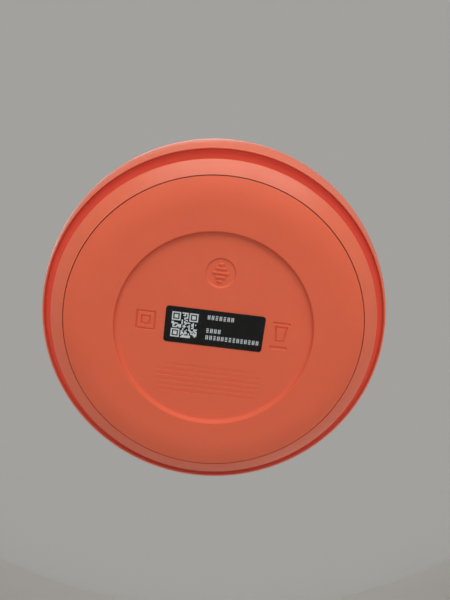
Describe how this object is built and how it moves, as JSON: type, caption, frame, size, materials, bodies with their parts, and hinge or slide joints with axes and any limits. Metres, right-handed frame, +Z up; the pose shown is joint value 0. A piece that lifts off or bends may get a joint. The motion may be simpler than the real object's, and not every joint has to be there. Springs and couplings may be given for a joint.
{
  "type": "smart speaker",
  "caption": "Squat round speaker on a soft foot, with a down-firing driver, a sound slot round its base, keys and a light ring on top, and a power port at the back.",
  "frame": {"origin": "centre of the foot's flat ring, on the surface the speaker stands on", "axes": "+Z up; -Y is the front; +Y is the back, with the power port; +X is the right-hand side seen from above with the front nearest"},
  "size_m": [0.1102, 0.1102, 0.0483],
  "materials": {
    "soft_foot": "matt silicone, orange, fine satin",
    "base_plastic": "fine-textured moulded plastic, orange",
    "shell_plastic": "fine-textured moulded plastic, orange",
    "inner_plastic": "moulded plastic, deeper orange",
    "label_film": "black printed film, satin",
    "ballast_steel": "zinc-plated stamped steel",
    "screw_steel": "black zinc-plated steel screws",
    "black_plastic": "black moulded plastic",
    "black_rubber": "soft black rubber",
    "gasket_foam": "closed-cell foam",
    "basket_steel": "black coated pressed steel",
    "magnet_ferrite": "sintered ferrite",
    "yoke_steel": "zinc-plated machined steel",
    "terminal_brass": "tinned brass",
    "coil_copper": "enamelled copper wire",
    "former_aluminium": "thin aluminium tube",
    "cone_paper": "coated paper pulp",
    "spider_cloth": "resin-treated woven cloth",
    "wire_insulation": "stranded wire in soft insulation",
    "screen_plastic": "moulded plastic, deeper orange",
    "board_laminate": "green solder-masked laminate",
    "can_steel": "tinned steel",
    "chip_epoxy": "black moulded epoxy",
    "capacitor_can": "aluminium can",
    "led_lens": "milky encapsulant",
    "socket_steel": "nickel-plated steel",
    "ribbon_film": "polyester film over flat conductors",
    "key_plastic": "soft-touch moulded plastic, orange",
    "cover_plastic": "fine-textured moulded plastic, orange",
    "light_guide": "milky diffusing plastic"
  },
  "bodies": {
    "housing": {"foot_pad": "soft_foot", "id_label": "label_film", "base_cup": "base_plastic", "ballast_plate": "ballast_steel", "sound_deflector": "inner_plastic", "dust_screen": "screen_plastic", "base_screws": "screw_steel", "baffle": "inner_plastic", "chamber_seal": "black_rubber", "rear_chamber": "black_plastic", "chamber_screws": "screw_steel", "wire_grommet": "black_rubber", "driver_gasket": "gasket_foam", "driver_frame": "basket_steel", "driver_screws": "screw_steel", "driver_washer": "yoke_steel", "driver_magnet": "magnet_ferrite", "driver_yoke": "yoke_steel", "driver_terminals": "terminal_brass", "cone_surround": "black_rubber", "cone_spider": "spider_cloth", "speaker_wires": "wire_insulation", "wire_plug": "black_plastic", "outer_shell": "shell_plastic", "shell_screws": "screw_steel", "port_board": "board_laminate", "port_screws": "screw_steel", "socket_shell": "socket_steel", "socket_tongue": "black_plastic", "port_connector": "black_plastic", "power_ribbon": "ribbon_film", "board_connector": "black_plastic", "main_board": "board_laminate", "shield_can": "can_steel", "processor": "chip_epoxy", "memory_chip": "chip_epoxy", "amplifier_chip": "chip_epoxy", "power_coils": "chip_epoxy", "capacitors": "capacitor_can", "antenna": "can_steel", "leds": "led_lens", "microphones": "can_steel", "mic_boots": "black_rubber", "board_screws": "screw_steel", "switch_bodies": "black_plastic", "top_cover": "cover_plastic", "light_ring": "light_guide"},
    "driver_piston": {"driver_cone": "cone_paper", "dust_cap": "cone_paper", "coil_former": "former_aluminium", "voice_coil": "coil_copper"},
    "action_key": {"key_action": "key_plastic", "plunger_action": "black_plastic"},
    "volume_up_key": {"key_volume_up": "key_plastic", "plunger_volume_up": "black_plastic"},
    "mute_key": {"key_mute": "key_plastic", "plunger_mute": "black_plastic"},
    "volume_down_key": {"key_volume_down": "key_plastic", "plunger_volume_down": "black_plastic"}
  },
  "joints": [
    {"name": "cone_slide", "type": "slide", "parent": "housing", "child": "driver_piston", "axis": [0, 0, 1], "range_m": [-0.0015, 0.0015], "stiffness_N_per_m": 900, "deforming": ["cone_surround", "cone_spider"]},
    {"name": "action_press", "type": "slide", "parent": "housing", "child": "action_key", "axis": [0, 0, -1], "range_m": [0, 0.0005], "stiffness_N_per_m": 1200},
    {"name": "volume_up_press", "type": "slide", "parent": "housing", "child": "volume_up_key", "axis": [0, 0, -1], "range_m": [0, 0.0005], "stiffness_N_per_m": 1200},
    {"name": "mute_press", "type": "slide", "parent": "housing", "child": "mute_key", "axis": [0, 0, -1], "range_m": [0, 0.0005], "stiffness_N_per_m": 1200},
    {"name": "volume_down_press", "type": "slide", "parent": "housing", "child": "volume_down_key", "axis": [0, 0, -1], "range_m": [0, 0.0005], "stiffness_N_per_m": 1200}
  ]
}
